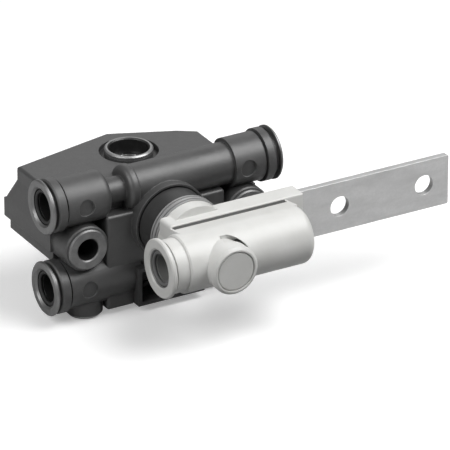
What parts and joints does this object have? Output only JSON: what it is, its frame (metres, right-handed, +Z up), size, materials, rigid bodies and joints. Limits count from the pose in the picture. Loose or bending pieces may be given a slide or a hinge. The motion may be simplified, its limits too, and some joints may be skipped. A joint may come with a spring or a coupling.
{
  "type": "air suspension leveling valve",
  "caption": "Air suspension leveling valve: ported housing with a crossbar of air ports, and a lever on a white carrier whose air cylinder shifts the ride height.",
  "frame": {"origin": "on the lever shaft's axis, in the plane of the housing's mounting face", "axes": "+X along the ports and the lever at rest, +Y out of the mounting face towards the vehicle frame, +Z up"},
  "size_m": [0.1559, 0.0982, 0.0575],
  "materials": {
    "housing": "satin black coating on cast aluminium",
    "hood": "moulded black plastic",
    "flap": "black moulded rubber",
    "steel_sleeve": "dull zinc-plated steel",
    "port_metal": "dull plated metal",
    "top_metal": "dull plated metal",
    "rubber": "black rubber",
    "plug_aluminium": "turned aluminium",
    "spring_steel": "bright spring steel",
    "sleeve_aluminium": "turned and anodised aluminium",
    "bush_bronze": "sintered bronze",
    "shaft_steel": "ground steel",
    "hub_ring": "dark grey moulded plastic",
    "cover_ring": "light grey moulded plastic",
    "poppet": "moulded acetal",
    "carrier": "off-white moulded plastic",
    "carrier_cap": "off-white moulded plastic",
    "lever_zinc": "zinc-plated rolled steel",
    "screw_steel": "zinc-plated steel"
  },
  "bodies": {
    "housing": {"valve_body": "housing", "exhaust_hood": "hood", "mount_sleeve_left": "steel_sleeve", "mount_sleeve_right": "steel_sleeve", "port_insert_left": "port_metal", "port_insert_right": "port_metal", "port_insert_supply": "port_metal", "top_ring": "top_metal", "port_seal_left": "rubber", "port_seal_right": "rubber", "port_seal_supply": "rubber", "top_plug_seal": "rubber", "bottom_cap_seal": "rubber", "shaft_seal": "rubber", "top_plug": "plug_aluminium", "bottom_cap": "plug_aluminium", "check_cap": "plug_aluminium", "gallery_plugs": "plug_aluminium", "snap_ring": "spring_steel", "check_spring": "spring_steel", "valve_sleeve": "sleeve_aluminium", "shaft_bush": "bush_bronze"},
    "shaft": {"lever_shaft": "shaft_steel", "shaft_clip": "spring_steel", "hub_ring": "hub_ring", "drive_pinion": "shaft_steel"},
    "spool": {"valve_spool": "sleeve_aluminium", "spool_seals": "rubber"},
    "check_valve": {"check_poppet": "poppet"},
    "flap": {"exhaust_flap": "flap"},
    "lever": {"lever_carrier": "carrier", "cover_ring": "cover_ring", "hub_bush": "bush_bronze", "nose_bush": "bush_bronze", "front_cap": "carrier_cap", "cylinder_cap": "carrier_cap", "control_port_seal": "rubber", "lever_strip": "lever_zinc", "strip_screws": "screw_steel", "piston_spring": "spring_steel"},
    "piston": {"rack_piston": "poppet", "piston_seal": "rubber", "guide_ring": "poppet"}
  },
  "joints": [
    {"name": "shaft_turn", "type": "hinge", "parent": "housing", "child": "shaft", "pos_m": [0, 0, 0], "axis": [0, -1, 0], "range_deg": [-45, 45]},
    {"name": "spool_slide", "type": "slide", "parent": "housing", "child": "spool", "axis": [0, 0, 1], "range_m": [-0.00177, 0.00177]},
    {"name": "level_shift", "type": "hinge", "parent": "shaft", "child": "lever", "pos_m": [0, -0.0824, 0], "axis": [0, -1, 0], "range_deg": [-25, 0]},
    {"name": "piston_slide", "type": "slide", "parent": "lever", "child": "piston", "axis": [1, 0, 0], "range_m": [0, 0.00218], "deforming": ["piston_spring"]},
    {"name": "check_valve_lift", "type": "slide", "parent": "housing", "child": "check_valve", "axis": [0, 0, -1], "range_m": [0, 0.0015], "stiffness_N_per_m": 300, "deforming": ["check_spring"]},
    {"name": "flap_swing", "type": "hinge", "parent": "housing", "child": "flap", "pos_m": [0, -0.03915, -0.0192], "axis": [-1, 0, 0], "range_deg": [0, 30]}
  ],
  "couplings": [
    {"joint": "shaft_turn", "follows": "spool_slide", "rad_per_m": 444.29},
    {"joint": "level_shift", "follows": "piston_slide", "rad_per_m": -200}
  ]
}
